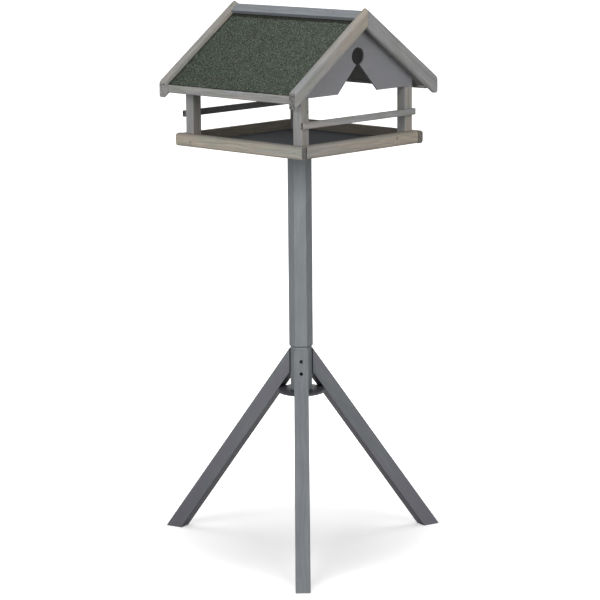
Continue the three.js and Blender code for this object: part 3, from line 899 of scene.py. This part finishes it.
# %% [markdown]
# ## The felt's points
#
# A grid is rows of points from the ridge down to the eave, and every point is the crest, so far down the
# slope and so far off it. Blender's own grid could be turned and moved there, but these two steps are all
# that it takes.

# %% Place the felt's points
def felt_grid(made, side, sign, under):
    """The points of one face of the felt, row by row."""
    low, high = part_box(f"roof_felt_{side}")
    run, length = (high.x - low.x) / math.cos(PITCH), high.y - low.y
    crest = Vector((low.x if sign > 0 else high.x, 0, high.z))
    rows, columns = round(run / FELT_STEP), round(length / FELT_STEP)
    grid = [[] for _ in range(rows + 1)]
    for i, row in enumerate(grid):
        for j in range(columns + 1):
            down, y = run * i / rows, low.y + length * j / columns
            height = -FELT_THICK if under else wave(down, y, sign)
            reach = raggedness(y, sign) if i == rows else 0.0
            point = crest + down_slope(sign) * (down + reach) + off_slope(sign) * height
            row.append(made.verts.new((point.x, y, point.z)))
    return grid


def rim(grid):
    """The outermost points of a grid, in order all the way round."""
    return grid[0] + [row[-1] for row in grid[1:-1]] + grid[-1][::-1] + [row[0] for row in grid[-2:0:-1]]


print("felt points every", FELT_STEP / MM, "mm")

# %% [markdown]
# ## Laying the felt
#
# Both grids get their faces, and the rims are joined all the way round, so that the sheet is closed. Blender
# then turns all faces outwards by itself, and the order of their points needs no thought.

# %% Lay the felt
def lay_felt(side, sign):
    """One slope's felt, as a piece."""
    made = bmesh.new()
    worn = made.verts.layers.float.new("worn")
    top, bottom = felt_grid(made, side, sign, False), felt_grid(made, side, sign, True)
    for grid in (top, bottom):
        for row, next_row in zip(grid, grid[1:]):
            for j in range(len(row) - 1):
                made.faces.new((row[j], next_row[j], next_row[j + 1], row[j + 1]))
    upper, lower = rim(top), rim(bottom)
    for k in range(len(upper)):
        made.faces.new((upper[k - 1], upper[k], lower[k], lower[k - 1]))
    bmesh.ops.recalc_face_normals(made, faces=made.faces)
    low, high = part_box(f"roof_felt_{side}")
    for v in made.verts:
        v[worn] = wear_and_shadow(v.co, low, high)
    return show(made, f"roof_felt_{side}_laid", green_felt, f"roof_felt_{side}")


for side, sign in SLOPES:
    sheet = lay_felt(side, sign)
    print(sheet.name, len(sheet.data.polygons), "faces")

# %% [markdown]
# ## The floor
#
# The object stands on a plain pale floor. The floor has a real surface that takes the soft shadow. Light
# Path tells its shader when the camera is looking, also by way of a reflection, and only then adds a glow.
# The glow grows away from the table, so the shadow fades into a clean white background, and the object gets
# no extra light from it.
#
# A shadow catcher would also do, but it needs the picture to be laid over white afterwards.

# %% Make the floor
def looked_at(recipe):
    """1 for what the camera sees, also in a mirror or through glass, and 0 for all other light."""
    path = recipe.add("ShaderNodeLightPath")
    rays = [Signal(recipe, path.outputs[f"Is {kind} Ray"]) for kind in ("Camera", "Glossy", "Transmission")]
    return (rays[0] + rays[1] + rays[2]).clipped()


ground = Finish("pale floor", Roughness=0.9, Specular_IOR_Level=0.0, Emission_Strength=1.0)
seen = looked_at(ground)
x, y, _ = ground.axes(ground.place())
sideways, backways = x - (axis_x + 0.02), y - (axis_y + 0.02)
far_off = (sideways * sideways + backways * backways).root()
between_feet = far_off.ramp(0.08, 0.5) * 0.23 + far_off.ramp(0.22, 0.37) * 0.06
glow = 0.16 + between_feet + far_off.ramp(0.42, 1.0) * 0.55
ground.set(Base_Color=ground.colour("707070", "ffffff", seen),
           Emission_Color=ground.colour("000000", "ffffff", seen * glow))

square = bmesh.new()
bmesh.ops.create_grid(square, x_segments=1, y_segments=1, size=30)
floor_mesh = bpy.data.meshes.new("floor")
square.to_mesh(floor_mesh)
square.free()
floor_mesh.materials.append(ground.material)
floor = add_object("floor", floor_mesh)
print("floor", [round(v) for v in floor.dimensions[:2]], "m")

# %% [markdown]
# ## The background
#
# Behind the floor there is nothing but white. The world is full white only to the camera and to reflections.
# For all other light it is faint, because a white world would light the inside of the house as brightly as
# its outside.

# %% Make the world
FILL = 0.14
world = bpy.data.worlds.new("white studio")
bpy.context.scene.world = world
world.use_nodes = True
sky = Recipe(world.node_tree)
fill, white = [sky.signal(0, "ShaderNodeBackground", {}, {"Color": "ffffff", "Strength": strength})
               for strength in (FILL, 1.0)]
chosen = sky.signal(0, "ShaderNodeMixShader", {}, {0: looked_at(sky), 1: fill, 2: white})
sky.add("ShaderNodeOutputWorld", {}, {"Surface": chosen})
print("world has", len(sky.nodes), "nodes")

# %% [markdown]
# ## Colour management
#
# The Standard view shows a colour as it was written, without a film curve.

# %% Finish
bpy.context.scene.view_settings.view_transform = "Standard"
